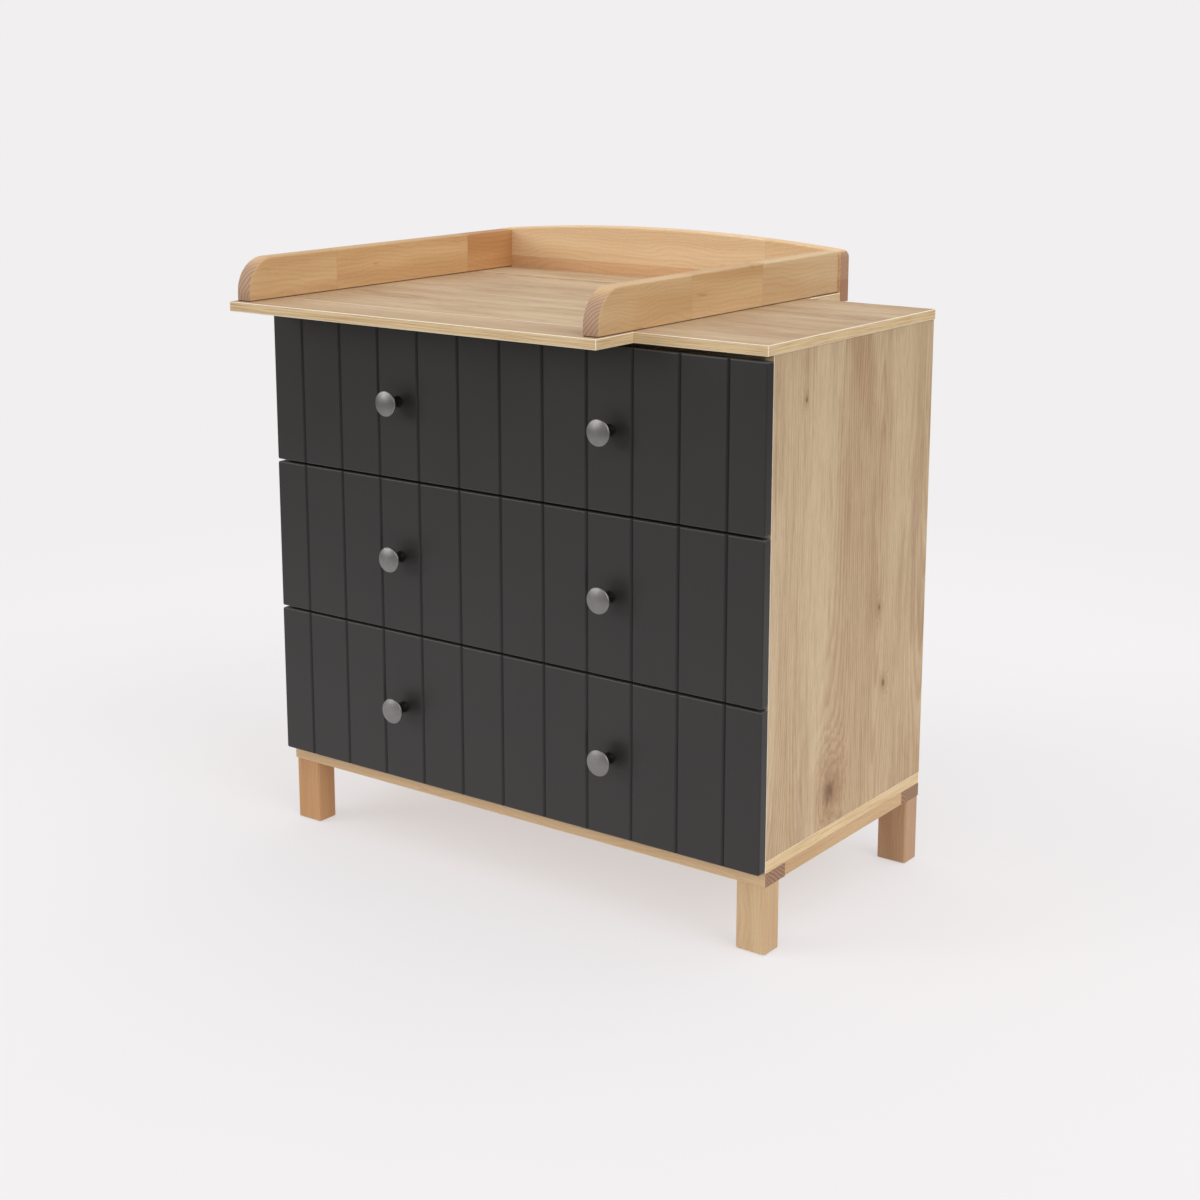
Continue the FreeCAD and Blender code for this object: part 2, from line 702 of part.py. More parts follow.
def slides(tier):
    """A drawer's pair of slides: cabinet channels, middle channels and drawer channels."""
    z = slide_height(tier)
    y = (Y_CARCASS + SLIDE_SETBACK, Y_CARCASS + SLIDE_SETBACK + SLIDE_LENGTH)
    wall = X_MID + PANEL_INNER
    outer = channel(wall, -1, OUTER_DEPTH, OUTER_HALF_HEIGHT, y, z)
    middle = channel(wall - MIDDLE_GAP, -1, MIDDLE_DEPTH, MIDDLE_HALF_HEIGHT, y, z)
    inner = channel(wall - SLIDE_SPACE, 1, INNER_DEPTH, INNER_HALF_HEIGHT, y, z)
    return both_sides(outer), both_sides(middle), both_sides(inner)


def write_chest():
    """The carcass, the base and everything fixed to them."""
    save("top_board", [top_board()])
    panel = side_panel()
    save("side_panel_right", [panel])
    save("side_panel_left", [mirrored(panel)])
    save("bottom_board", [bottom_board()])
    save("back_panel", [back_panel_space()])
    save("front_stretcher", [front_stretcher()])
    for name, rail in base_rails().items():
        save(name, [rail])
    found, glides = legs()
    for name, leg in found.items():
        save(name, [leg])
    save("foot_glides", glides)
    save("dowels", panel_dowels() + stretcher_dowels() + base_dowels() + strip_dowels())
    save("cam_locks", cam_housings())
    save("cam_bolts", cam_bolts())
    save("leg_screws", leg_screws())
    save("base_screws", base_screws())


def write_changing_frame():
    """The strips, rails and screws of the changing frame."""
    front = (Y_STRIP, Y_TOP)
    back = (Y_TOP_BACK, Y_RAIL_END)
    save("changing_strip_front", [strip(front, strip_dowels() + rail_screws())])
    rear = strip(back, strip_dowels() + rail_screws() + back_rail_screws())
    save("changing_strip_back", [rear])
    save("changing_rail_left", [side_rail(0)])
    save("changing_rail_right", [side_rail(1)])
    save("changing_rail_back", [back_rail()])
    save("rail_screws", rail_screws())
    save("back_rail_screws", back_rail_screws())


def write_drawers():
    """Three drawers with their knobs and slides."""
    cabinet_channels = []
    for tier, name in enumerate(FRONT_NAMES):
        left, right, back = drawer_walls(tier)
        outer, middle, inner = slides(tier)
        cabinet_channels += outer
        save("drawer_front_" + name, [drawer_front(tier)])
        save("drawer_side_left_" + name, [left])
        save("drawer_side_right_" + name, [right])
        save("drawer_back_" + name, [back])
        save("drawer_floor_" + name, [drawer_floor(tier)])
        save("drawer_brackets_" + name, brackets(tier))
        save("drawer_screws_" + name, drawer_screws(tier))
        save("knobs_" + name, [knob(x, z) for x, z in knob_places(tier)])
        save("slide_middle_" + name, middle)
        save("slide_drawer_" + name, inner)
    save("slide_cabinet_channels", cabinet_channels)


write_chest()
write_changing_frame()
write_drawers()
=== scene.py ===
"""The looks of a changing table: a chest of three drawers whose top carries a rimmed changing frame.

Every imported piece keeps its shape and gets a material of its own. The grain of each wooden piece is laid
out in that piece's own length, width and depth, from its box. All lengths are in metres.
"""

import math

import bpy
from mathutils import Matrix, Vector


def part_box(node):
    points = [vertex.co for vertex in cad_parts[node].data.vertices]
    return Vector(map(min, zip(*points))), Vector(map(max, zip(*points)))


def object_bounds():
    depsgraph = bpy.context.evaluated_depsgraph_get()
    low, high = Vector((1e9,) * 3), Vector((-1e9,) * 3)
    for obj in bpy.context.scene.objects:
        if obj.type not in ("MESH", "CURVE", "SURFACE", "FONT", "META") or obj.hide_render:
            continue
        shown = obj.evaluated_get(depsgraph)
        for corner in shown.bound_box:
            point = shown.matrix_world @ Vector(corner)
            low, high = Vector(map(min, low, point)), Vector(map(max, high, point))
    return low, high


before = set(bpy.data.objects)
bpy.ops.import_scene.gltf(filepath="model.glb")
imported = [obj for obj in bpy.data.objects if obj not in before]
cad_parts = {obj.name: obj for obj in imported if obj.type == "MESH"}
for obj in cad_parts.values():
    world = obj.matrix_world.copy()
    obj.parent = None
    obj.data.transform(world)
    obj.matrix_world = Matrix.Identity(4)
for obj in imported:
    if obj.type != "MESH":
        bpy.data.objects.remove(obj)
cad_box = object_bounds()

# Camera: where it stands, seen from the middle of the object.
CAMERA_AZIMUTH = 36.4  # degrees to the right of the front
CAMERA_ELEVATION = 12.0  # degrees above the horizon
CAMERA_DISTANCE = 3.41
CAMERA_LENS, CAMERA_SENSOR = 61.65, 36.0  # millimetres: focal length, and the sensor's width
CAMERA_AIM = Vector((-0.0154, 0.0186, 0.1132))  # from the middle of the object
CAMERA_SHIFT = -0.10  # the camera looks down less steeply for it, so upright edges stay nearer to parallel

# Studio
BACKGROUND = (241, 239, 240)
FLOOR_RADIUS = 2.7
FLOOR_SIDES = 96
FLOOR_FADE = 1.4  # from here out the floor turns into the backdrop
FLOOR_GLOW = 0.57  # the floor is a light table, so that the shadow under the chest stays pale
FLOOR_WHITE = (166, 165, 166)
FLOOR_CLOUD_TINT = (0.99, 0.99, 0.99)
SKY_LOW, SKY_HIGH = 0.20, 1.06  # how bright the studio is near the horizon and overhead
SKY_FROM, SKY_TO = 0.05, 0.55  # the sines of the elevations between which it brightens
# Soft boxes: name, the way towards it, strength, and how many degrees across it looks from the object
SOFT_BOXES = (
    ("right_box", Vector((0.84, -0.12, 0.52)), 1.03, 50.0),
    ("left_box", Vector((-0.67, -0.68, 0.30)), 0.80, 30.0),
)


def colour(red, green, blue):
    """A colour of a display, 0 to 255, as the linear colour that a shader takes."""

    def linear(value):
        share = value / 255
        return share / 12.92 if share <= 0.04045 else ((share + 0.055) / 1.055) ** 2.4

    return (linear(red), linear(green), linear(blue), 1.0)


SEED_STEPS = (3.7, 5.3, 2.9)  # how many cells of noise one seed lies from the next, along each axis


class Tree:
    """A node tree, with one short call for each kind of node. The seed moves its noise to another place."""

    def __init__(self, tree, seed=0.0):
        self.tree = tree
        self.seed = tuple(seed * step for step in SEED_STEPS)

    def fill(self, socket, value):
        """Links value to the socket if it is another node's output, and sets it if it is a number."""
        if isinstance(value, bpy.types.NodeSocket):
            self.tree.links.new(value, socket)
        elif value is not None:
            socket.default_value = value

    def node(self, kind, *inputs, **settings):
        """Adds a node with its properties set and its inputs filled in order. None leaves one as it is."""
        made = self.tree.nodes.new("ShaderNode" + kind)
        for name, value in settings.items():
            setattr(made, name, value)
        for socket, value in zip(made.inputs, inputs):
            self.fill(socket, value)
        return made

    def maths(self, operation, *values):
        return self.node("Math", *values, operation=operation).outputs[0]

    def vector(self, operation, *values):
        return self.node("VectorMath", *values, operation=operation).outputs[0]

    def length(self, vector):
        return self.node("VectorMath", vector, operation="LENGTH").outputs["Value"]

    def split(self, vector):
        return self.node("SeparateXYZ", vector).outputs

    def join(self, *parts):
        return self.node("CombineXYZ", *parts).outputs[0]

    def noise(self, place, cells, detail=3.0, roughness=0.5, distortion=0.0):
        """Noise from 0 to 1, with so many cells a metre along each axis."""
        moved = self.node("Mapping", place, self.seed, None, cells).outputs[0]
        made = self.node("TexNoise", moved)
        for name, value in (("Scale", 1.0), ("Detail", detail), ("Roughness", roughness)):
            made.inputs[name].default_value = value
        made.inputs["Distortion"].default_value = distortion
        return made.outputs[0]

    def step(self, value, low, high, at_low=0.0, at_high=1.0):
        """A smooth step from at_low, where value is low, to at_high, where it is high."""
        made = self.node("MapRange", value, low, high, at_low, at_high, interpolation_type="SMOOTHSTEP")
        return made.outputs[0]

    def mix(self, share, first, second, blend="MIX"):
        unused = (None,) * 5
        made = self.node("Mix", share, *unused, first, second, data_type="RGBA", blend_type=blend)
        return made.outputs[2]

    def mix_value(self, share, first, second):
        return self.node("Mix", share, None, first, second, data_type="FLOAT").outputs[0]

    def tint(self, share, base, factor):
        """base multiplied by the factor (red, green, blue), as far as share says."""
        return self.mix(share, base, (*factor, 1.0), "MULTIPLY")


ARRIS_START, ARRIS_FULL = 0.985, 0.90  # the largest part of the normal, where rounding starts and is full


class Shade(Tree):
    """A material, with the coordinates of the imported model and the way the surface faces."""

    def __init__(self, name, seed=0.0):
        self.material = bpy.data.materials.new(name)
        self.material.use_nodes = True
        super().__init__(self.material.node_tree, seed)
        self.shader = self.tree.nodes["Principled BSDF"]
        self.place = self.node("TexCoord").outputs["Object"]
        self.normal = self.node("TexCoord").outputs["Normal"]

    def facing(self, axis):
        """1 where the surface faces along the axis, either way, and 0 where it lies along it."""
        return self.maths("ABSOLUTE", self.split(self.normal)["xyz".index(axis)])

    def arris(self):
        """1 on rounded edges, where the surface faces along none of the three axes, and 0 elsewhere."""
        sides = [self.maths("ABSOLUTE", part) for part in self.split(self.normal)]
        most = self.maths("MAXIMUM", self.maths("MAXIMUM", sides[0], sides[1]), sides[2])
        return self.step(most, ARRIS_START, ARRIS_FULL)

    def finish(self, base, roughness, height=None, depth=0.0, normal=None, **sockets):
        """Joins the colour, roughness and relief to the shader.

        depth is how deep the relief is, and normal the way the surface under it faces."""
        self.fill(self.shader.inputs["Base Color"], base)
        self.fill(self.shader.inputs["Roughness"], roughness)
        if height is not None:
            relief = self.node("Bump")
            relief.inputs["Strength"].default_value = 1.0
            relief.inputs["Distance"].default_value = depth
            self.fill(relief.inputs["Height"], height)
            self.fill(relief.inputs["Normal"], normal)
            self.fill(self.shader.inputs["Normal"], relief.outputs[0])
        for name, value in sockets.items():
            self.shader.inputs[name.replace("_", " ")].default_value = value
        return self.material


def grain_space(shade, node, axes):
    """Length along the grain, width across it and depth, each from the piece's lowest corner."""
    low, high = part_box(node)
    parts = shade.split(shade.vector("SUBTRACT", shade.place, tuple(low)))
    size = high - low
    order = ["xyz".index(axis) for axis in axes]
    return shade.join(*(parts[i] for i in order)), [size[i] for i in order]


# Shares of a year's growth at which late wood starts, is darkest, and begins to end
LATE_START, LATE_FULL, LATE_END = 0.25, 0.85, 0.90


def growth_lines(shade, distance, spacing):
    """Late wood: a dark line that builds up through each year's growth and ends sharply."""
    year = shade.maths("FRACT", shade.maths("DIVIDE", distance, spacing))
    return shade.maths("MULTIPLY", shade.step(year, LATE_START, LATE_FULL), shade.step(year, 1.0, LATE_END))


# ---------------------------------------------------------------- oak-look decor board

OAK_LIGHT = (210, 187, 153)
OAK_ROSE = (199, 173, 139)
OAK_BROWN = (176, 145, 114)
OAK_DARK = (152, 122, 92)
KNOT_BROWN = (112, 82, 58)
BAND_LIGHT = (228, 202, 158)
BAND_DARK = (182, 146, 100)
ARRIS_PALE_AND_HIGHLIGHT = (252, 244, 224)
PLANK_WIDTH = 0.17
OAK_YEAR = 0.0062  # from one growth line to the next
OAK_SWAY = 0.05  # how far the heart of a plank wanders, and how far its lines ripple
OAK_RIPPLE = 0.005
OAK_ARCH, OAK_ARCH_START = 0.16, -0.03  # how the depth below the heart varies, which closes lines to arches
OAK_LINE_TINT = (0.87, 0.81, 0.75)
OAK_FINE_TINT = (0.88, 0.85, 0.81)
OAK_PORE_TINT = (0.78, 0.71, 0.64)
OAK_PORE_DEPTH = 0.00012
KNOT_TINT = (0.84, 0.77, 0.72)
KNOT_SQUASH = 0.6  # a knot's width over its length
KNOT_RAGGED = 1.1  # how uneven its outline is, and how far it reaches, in its own radii
KNOT_BEND = (4.2, 0.5)
KNOT_CORE = (1.6, 0.6)
KNOT_PUSH = 0.028  # how far it pushes the growth lines aside
BAND_DASH_TINT = (0.80, 0.72, 0.60)


def knot_field(shade, place, size, knots):
    """How near the knots are, and how dark they make the board.

    A knot is (share of the length, share of the width, radius)."""
    near, dark = 0.0, 0.0
    for along, across, radius in knots:
        centre = (along * size[0], across * size[1], 0.0)
        apart = shade.vector("SUBTRACT", place, centre)
        apart = shade.vector("MULTIPLY", apart, (KNOT_SQUASH / radius, 1 / radius, 0.0))
        ragged = shade.noise(place, (60.0, 120.0, 0.0), 3.0)
        reach = shade.maths("MULTIPLY_ADD", ragged, KNOT_RAGGED, shade.length(apart))
        near = shade.maths("ADD", near, shade.step(reach, *KNOT_BEND))
        dark = shade.maths("ADD", dark, shade.step(reach, *KNOT_CORE))
    return near, dark


def oak_figure(shade, place, size, knots):
    """The printed face of the board: its colour and its pores.

    Each noise has few cells along the grain and many across it."""
    _, width, _ = shade.split(place)
    near, dark = knot_field(shade, place, size, knots)
    sway = shade.maths("MULTIPLY_ADD", shade.noise(place, (1.6, 5.0, 0.0), 2.0), OAK_SWAY, width)
    heart = shade.maths("PINGPONG", sway, PLANK_WIDTH / 2)
    below = shade.noise(place, (0.9, 3.0, 0.0), 1.0)
    below = shade.maths("MULTIPLY_ADD", below, OAK_ARCH, OAK_ARCH_START)
    distance = shade.length(shade.join(heart, below, 0.0))
    ripple = shade.noise(place, (9.0, 60.0, 0.0), 3.0)
    distance = shade.maths("MULTIPLY_ADD", ripple, OAK_RIPPLE, distance)
    distance = shade.maths("MULTIPLY_ADD", near, KNOT_PUSH, distance)
    lines = growth_lines(shade, distance, OAK_YEAR)

    broad = shade.noise(place, (1.1, 9.0, 0.0), 3.0)
    clouds = shade.noise(place, (3.2, 22.0, 0.0), 4.0, 0.6, 0.4)
    streaks = shade.noise(place, (5.5, 130.0, 0.0), 5.0, 0.62)
    fine = shade.noise(place, (22.0, 600.0, 0.0), 3.0, 0.65)
    pores = shade.step(shade.noise(place, (45.0, 1300.0, 0.0), 2.0), 0.55, 0.68)

    face = shade.mix(shade.step(broad, 0.36, 0.62), colour(*OAK_LIGHT), colour(*OAK_ROSE))
    face = shade.mix(shade.step(clouds, 0.44, 0.66, 0.0, 0.55), face, colour(*OAK_BROWN))
    face = shade.mix(shade.step(streaks, 0.48, 0.72, 0.0, 0.30), face, colour(*OAK_DARK))
    face = shade.tint(shade.step(fine, 0.40, 0.70, 0.0, 0.8), face, OAK_FINE_TINT)
    face = shade.tint(shade.maths("MULTIPLY", lines, shade.step(broad, 0.30, 0.55)), face, OAK_LINE_TINT)
    face = shade.tint(shade.step(near, 0.0, 0.9, 0.0, 0.9), face, KNOT_TINT)
    face = shade.mix(shade.maths("MULTIPLY", dark, 0.85), face, colour(*KNOT_BROWN))
    face = shade.tint(shade.maths("MULTIPLY", pores, 0.6), face, OAK_PORE_TINT)
    return face, pores


def edge_band(shade, through):
    """The band glued round the board: fine streaks along it, whichever way the edge runs."""
    cells = [900.0 if axis == through else 9.0 for axis in "xyz"]
    streaks = shade.noise(shade.place, cells, 4.0, 0.65)
    dashes = shade.noise(shade.place, [3 * value for value in cells], 2.0)
    band = shade.mix(shade.step(streaks, 0.42, 0.68, 0.0, 0.85), colour(*BAND_LIGHT), colour(*BAND_DARK))
    return shade.tint(shade.step(dashes, 0.58, 0.70, 0.0, 0.6), band, BAND_DASH_TINT)


def oak_decor(node, axes, seed, knots=()):
    """Chipboard with a printed oak face and a lighter edge band; its arris is scraped pale and has a
    painted highlight.
    """
    shade = Shade("oak_decor_" + node, seed)
    place, size = grain_space(shade, node, axes)
    face, pores = oak_figure(shade, place, size, knots)
    flat = shade.facing(axes[2])
    base = shade.mix(shade.step(flat, 0.30, 0.45), edge_band(shade, axes[2]), face)
    # the rounded arris: scraped pale, and lighter still as a painted highlight
    base = shade.mix(shade.maths("MULTIPLY", shade.arris(), 0.9), base, colour(*ARRIS_PALE_AND_HIGHLIGHT))
    grime_and_shade = shade.noise(place, (6.0, 9.0, 0.0), 3.0)
    roughness = shade.maths("MULTIPLY_ADD", pores, 0.12, shade.step(grime_and_shade, 0.3, 0.7, 0.50, 0.60))
    sunk = shade.maths("SUBTRACT", 1.0, pores)
    return shade.finish(base, roughness, sunk, OAK_PORE_DEPTH, Specular_IOR_Level=0.35)


# ---------------------------------------------------------------- solid wood

# End grain: early wood, late wood
PALE_ENDS = ((192, 158, 130), (166, 131, 105))
DARK_ENDS = ((160, 126, 100), (128, 96, 72))
FINGER_LENGTH = 0.010
FINGER_PITCH = 0.0038
JOINT_BLEND = 0.0004
SEAM_WIDTH = 0.0006
SEAM_TINT = (0.66, 0.55, 0.46)
PIECE_SHIFT = 1.7  # how far along the grain the next glued piece was sawn from the first
WOOD_YEAR = 0.0055
WOOD_SWAY = 0.06
WOOD_RIPPLE = 0.0022
WOOD_LINE_TINT = (0.88, 0.80, 0.72)
WOOD_STREAK_TINT = (0.88, 0.82, 0.75)
WOOD_FLECK_TINT = (0.82, 0.74, 0.66)
WOOD_MARK_TINT = (0.74, 0.58, 0.46)
END_FLECK_TINT = (0.84, 0.80, 0.77)
# the colour of the painted contact shadow along a rail's foot
CONTACT_SHADE_TINT = (0.30, 0.22, 0.16)
WOOD_RELIEF = 0.00007


def wood_pieces(shade, place, size, joints, glue_lines):
    """Where one glued piece of wood ends and the next begins.

    Gives each later piece's share with its tint, the dark seams, and a shift of the grain that differs
    from piece to piece. A finger joint is straight on the wide face and a zigzag on the narrow one.
    """
    length, width, depth = shade.split(place)
    tooth = shade.maths("PINGPONG", depth, FINGER_PITCH / 2)
    zigzag = shade.maths("MULTIPLY_ADD", tooth, 2 * FINGER_LENGTH / FINGER_PITCH, length)
    cuts = [(shade.maths("SUBTRACT", zigzag, share * size[0]), tint) for share, tint in joints]
    cuts += [(shade.maths("SUBTRACT", share * size[1], width), tint) for share, tint in glue_lines]
    beyond, seams, shift = [], 0.0, 0.0
    for past, tint in cuts:
        share = shade.step(past, 0.0, JOINT_BLEND)
        beyond.append((share, tint))
        shift = shade.maths("MULTIPLY_ADD", share, PIECE_SHIFT, shift)
        seam = shade.step(shade.maths("ABSOLUTE", past), SEAM_WIDTH, 0.0)
        seams = shade.maths("MAXIMUM", seams, seam)
    return beyond, seams, shift


def solid_wood(
    node, axes, seed, light, dark, joints=(), glue_lines=(), pith=(-0.02, 0.07), ends=PALE_ENDS, foot=0.0
):
    """Oiled hardwood with growth rings round a pith beside the piece, and end grain in tones of its own.

    foot is how far up the piece's width a painted contact shadow reaches."""
    shade = Shade("wood_" + node, seed)
    place, size = grain_space(shade, node, axes)
    beyond, seams, shift = wood_pieces(shade, place, size, joints, glue_lines)
    place = shade.vector("ADD", place, shade.join(shift, 0.0, 0.0))
    _, width, depth = shade.split(place)

    sway = shade.noise(place, (4.5, 9.0, 9.0), 2.0)
    ripple = shade.noise(place, (14.0, 90.0, 90.0), 3.0)
    across = shade.maths("SUBTRACT", width, pith[0])
    away = shade.maths("SUBTRACT", depth, pith[1])
    distance = shade.length(shade.join(across, away, 0.0))
    distance = shade.maths("MULTIPLY_ADD", sway, WOOD_SWAY, distance)
    distance = shade.maths("MULTIPLY_ADD", ripple, WOOD_RIPPLE, distance)
    rings = growth_lines(shade, distance, WOOD_YEAR)

    broad = shade.noise(place, (2.0, 22.0, 22.0), 3.0)
    streaks = shade.noise(place, (5.0, 240.0, 240.0), 4.0, 0.6)
    flecks = shade.noise(place, (170.0, 1300.0, 1300.0), 1.0)
    mark = shade.step(shade.noise(place, (16.0, 60.0, 60.0), 2.0), 0.69, 0.78)

    base = shade.mix(shade.step(broad, 0.32, 0.70), colour(*light), colour(*dark))
    base = shade.tint(shade.maths("MULTIPLY", rings, 0.4), base, WOOD_LINE_TINT)
    base = shade.tint(shade.step(streaks, 0.42, 0.75, 0.0, 0.35), base, WOOD_STREAK_TINT)
    base = shade.tint(shade.step(flecks, 0.55, 0.70, 0.0, 0.45), base, WOOD_FLECK_TINT)
    base = shade.tint(shade.maths("MULTIPLY", mark, 0.5), base, WOOD_MARK_TINT)
    end = shade.step(shade.facing(axes[0]), 0.30, 0.85)
    cut = shade.mix(rings, colour(*ends[0]), colour(*ends[1]))
    cut = shade.tint(shade.step(flecks, 0.5, 0.7, 0.0, 0.6), cut, END_FLECK_TINT)
    base = shade.mix(end, base, cut)
    for share, tint in beyond:
        base = shade.tint(share, base, tint)
    base = shade.tint(shade.maths("MULTIPLY", seams, 0.5), base, SEAM_TINT)
    # painted contact shadow: a dark line along the foot of the piece, where it stands on a board
    if foot:
        grime_and_shade = shade.step(shade.split(grain_space(shade, node, axes)[0])[1], foot, foot / 2)
        base = shade.tint(grime_and_shade, base, CONTACT_SHADE_TINT)
    roughness = shade.maths("MULTIPLY_ADD", end, 0.2, shade.step(streaks, 0.3, 0.8, 0.42, 0.54))
    height = shade.maths("MULTIPLY_ADD", rings, -0.3, flecks)
    return shade.finish(base, roughness, height, WOOD_RELIEF, Specular_IOR_Level=0.4)


# ---------------------------------------------------------------- lacquer, board, metal and plastic

ANTHRACITE = (37, 35, 33)
LACQUER_DUST_AND_HIGHLIGHT = (92, 91, 89)
LACQUER_CLOUD_TINT = (0.93, 0.94, 0.95)
GROOVE_SHADE = (29, 29, 31)
GROOVE_START, GROOVE_CORE = 0.0004, 0.0014  # how far in the painted shade in a groove starts, and where it is darkest
# A groove's flank faces sideways more than the front does, and less than the board's ends do
FLANK_LEAST, FLANK_MOST = (0.15, 0.45), (0.85, 0.75)
LACQUER_PEEL = 0.00003


def anthracite_lacquer(node, seed):
    """Matt lacquer sprayed on a milled board: a faint orange peel, grooves darkened with painted shade,
    and upper and lower faces painted a little lighter as a highlight."""
    shade = Shade("lacquer_" + node, seed)
    cloud = shade.noise(shade.place, (5.0, 5.0, 5.0), 3.0)
    peel = shade.noise(shade.place, (700.0, 700.0, 700.0), 2.0)
    dust = shade.step(shade.noise(shade.place, (1500.0, 1500.0, 1500.0), 1.0), 0.66, 0.78)
    base = shade.tint(shade.step(cloud, 0.3, 0.7), colour(*ANTHRACITE), LACQUER_CLOUD_TINT)
    across = shade.facing("x")
    inward = shade.maths("SUBTRACT", shade.split(shade.place)[1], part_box(node)[0].y)
    # painted shade: the grooves are darkened, deeper in and on their flanks
    sunk = shade.step(inward, GROOVE_START, GROOVE_CORE)
    groove_shade = shade.maths("MULTIPLY", sunk, shade.step(across, *FLANK_MOST))
    groove_shade = shade.maths("MULTIPLY", groove_shade, shade.step(across, *FLANK_LEAST))
    base = shade.mix(shade.maths("MULTIPLY", groove_shade, 0.85), base, colour(*GROOVE_SHADE))
    # painted highlight: faces turned up or down are lighter; the specks below are dust
    base = shade.mix(shade.maths("MULTIPLY", shade.facing("z"), 0.5), base, colour(*LACQUER_DUST_AND_HIGHLIGHT))
    base = shade.mix(shade.maths("MULTIPLY", dust, 0.12), base, colour(*LACQUER_DUST_AND_HIGHLIGHT))
    roughness = shade.step(cloud, 0.3, 0.7, 0.40, 0.47)
    return shade.finish(base, roughness, peel, LACQUER_PEEL, Specular_IOR_Level=0.5)


PEWTER = (138, 136, 135)
PATINA_TINT = (0.90, 0.89, 0.88)
TURNED_TINT = (0.9, 0.9, 0.9)
TURNED_START, TURNED_FULL = 0.001, 0.006  # the turning marks fade out towards the knob's axis
TURNED_RELIEF = 0.00001
NECK_SHADE_TINT = (0.22, 0.21, 0.21)
NECK_START, NECK_FADE = 0.008, 0.003  # behind the knob's front, where the metal is painted dark as shade
DOME_RADIUS = 0.0649
DOME_CENTRE = 0.0036  # within this radius the dome takes its normal from its sphere


def satin_pewter(node):
    """Turned metal, satin finished: fine rings round each knob's own axis."""
    shade = Shade("pewter_" + node)
    low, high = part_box(node)
    middle, size = (low + high) / 2, high - low
    part = shade.split(shade.vector("SUBTRACT", shade.place, tuple(middle)))
    spacing = size.x - size.z  # the box is one spacing and one knob long, and one knob high
    aside = shade.maths("SUBTRACT", shade.maths("ABSOLUTE", part[0]), spacing / 2)
    radius = shade.length(shade.join(aside, 0.0, part[2]))
    turned = shade.noise(shade.join(radius, 0.0, 0.0), (2600.0, 1.0, 1.0), 2.0)
    turned = shade.maths("MULTIPLY", turned, shade.step(radius, TURNED_START, TURNED_FULL))
    outward = shade.maths("MULTIPLY", aside, shade.maths("SIGN", part[0]))
    behind = shade.maths("SUBTRACT", part[1], DOME_RADIUS - size.y / 2)
    dome = shade.vector("NORMALIZE", shade.join(outward, behind, part[2]))
    normal = shade.mix(shade.step(radius, DOME_CENTRE, 0.9 * DOME_CENTRE), shade.normal, dome)
    patina = shade.noise(shade.place, (130.0, 130.0, 130.0), 3.0)
    base = shade.tint(shade.step(patina, 0.35, 0.75, 0.0, 0.5), colour(*PEWTER), PATINA_TINT)
    base = shade.tint(shade.step(turned, 0.45, 0.7, 0.0, 0.4), base, TURNED_TINT)
    # painted shade on the neck, behind the knob's disc
    neck_start = NECK_START - size.y / 2
    neck_shade = shade.step(part[1], neck_start, neck_start + NECK_FADE)
    base = shade.tint(neck_shade, base, NECK_SHADE_TINT)
    roughness = shade.step(patina, 0.3, 0.7, 0.38, 0.45)
    return shade.finish(base, roughness, turned, TURNED_RELIEF, normal, Metallic=1.0)


BOX_WHITE = (226, 221, 212)
BOX_CLOUD_TINT = (0.96, 0.955, 0.94)
BOX_FIBRE_TINT = (0.92, 0.91, 0.89)
BOX_RELIEF = 0.00006


def box_board(node, axes, seed):
    """Drawer sides and backs: pale foil with a fine fibre pressed in along the piece."""
    shade = Shade("box_" + node, seed)
    place, _ = grain_space(shade, node, axes)
    fibre = shade.noise(place, (60.0, 900.0, 900.0), 3.0)
    cloud = shade.noise(place, (4.0, 12.0, 12.0), 3.0)
    base = shade.tint(shade.step(cloud, 0.3, 0.7), colour(*BOX_WHITE), BOX_CLOUD_TINT)
    base = shade.tint(shade.step(fibre, 0.45, 0.75, 0.0, 0.5), base, BOX_FIBRE_TINT)
    roughness = shade.step(fibre, 0.3, 0.7, 0.45, 0.58)
    return shade.finish(base, roughness, fibre, BOX_RELIEF, Specular_IOR_Level=0.4)


HARDBOARD = (150, 116, 82)
HARD_FIBRE_TINT = (0.78, 0.74, 0.70)
HARD_CLOUD_TINT = (0.90, 0.88, 0.86)
HARD_RELIEF = 0.00008


def hardboard(node, axis, inner, seed):
    """Fibreboard, lacquered pale on its inner face and raw and brown on the other one and the edges."""
    shade = Shade("hardboard_" + node, seed)
    inward = shade.maths("MULTIPLY", shade.split(shade.normal)["xyz".index(axis)], inner)
    facing_in = shade.step(inward, 0.4, 0.6)
    fibres = shade.noise(shade.place, (260.0, 260.0, 260.0), 5.0, 0.7, 1.5)
    cloud = shade.noise(shade.place, (7.0, 7.0, 7.0), 3.0)
    raw = shade.tint(shade.step(fibres, 0.35, 0.7), colour(*HARDBOARD), HARD_FIBRE_TINT)
    raw = shade.tint(shade.step(cloud, 0.35, 0.7, 0.0, 0.7), raw, HARD_CLOUD_TINT)
    pale = shade.tint(shade.step(cloud, 0.3, 0.7), colour(*BOX_WHITE), BOX_CLOUD_TINT)
    base = shade.mix(facing_in, raw, pale)
    roughness = shade.maths("MULTIPLY_ADD", facing_in, -0.2, shade.step(fibres, 0.3, 0.7, 0.62, 0.78))
    return shade.finish(base, roughness, fibres, HARD_RELIEF, Specular_IOR_Level=0.35)


ZINC = (186, 189, 194)
SPANGLE_TINT = (0.84, 0.85, 0.87)
ROLLED_RELIEF = 0.00002


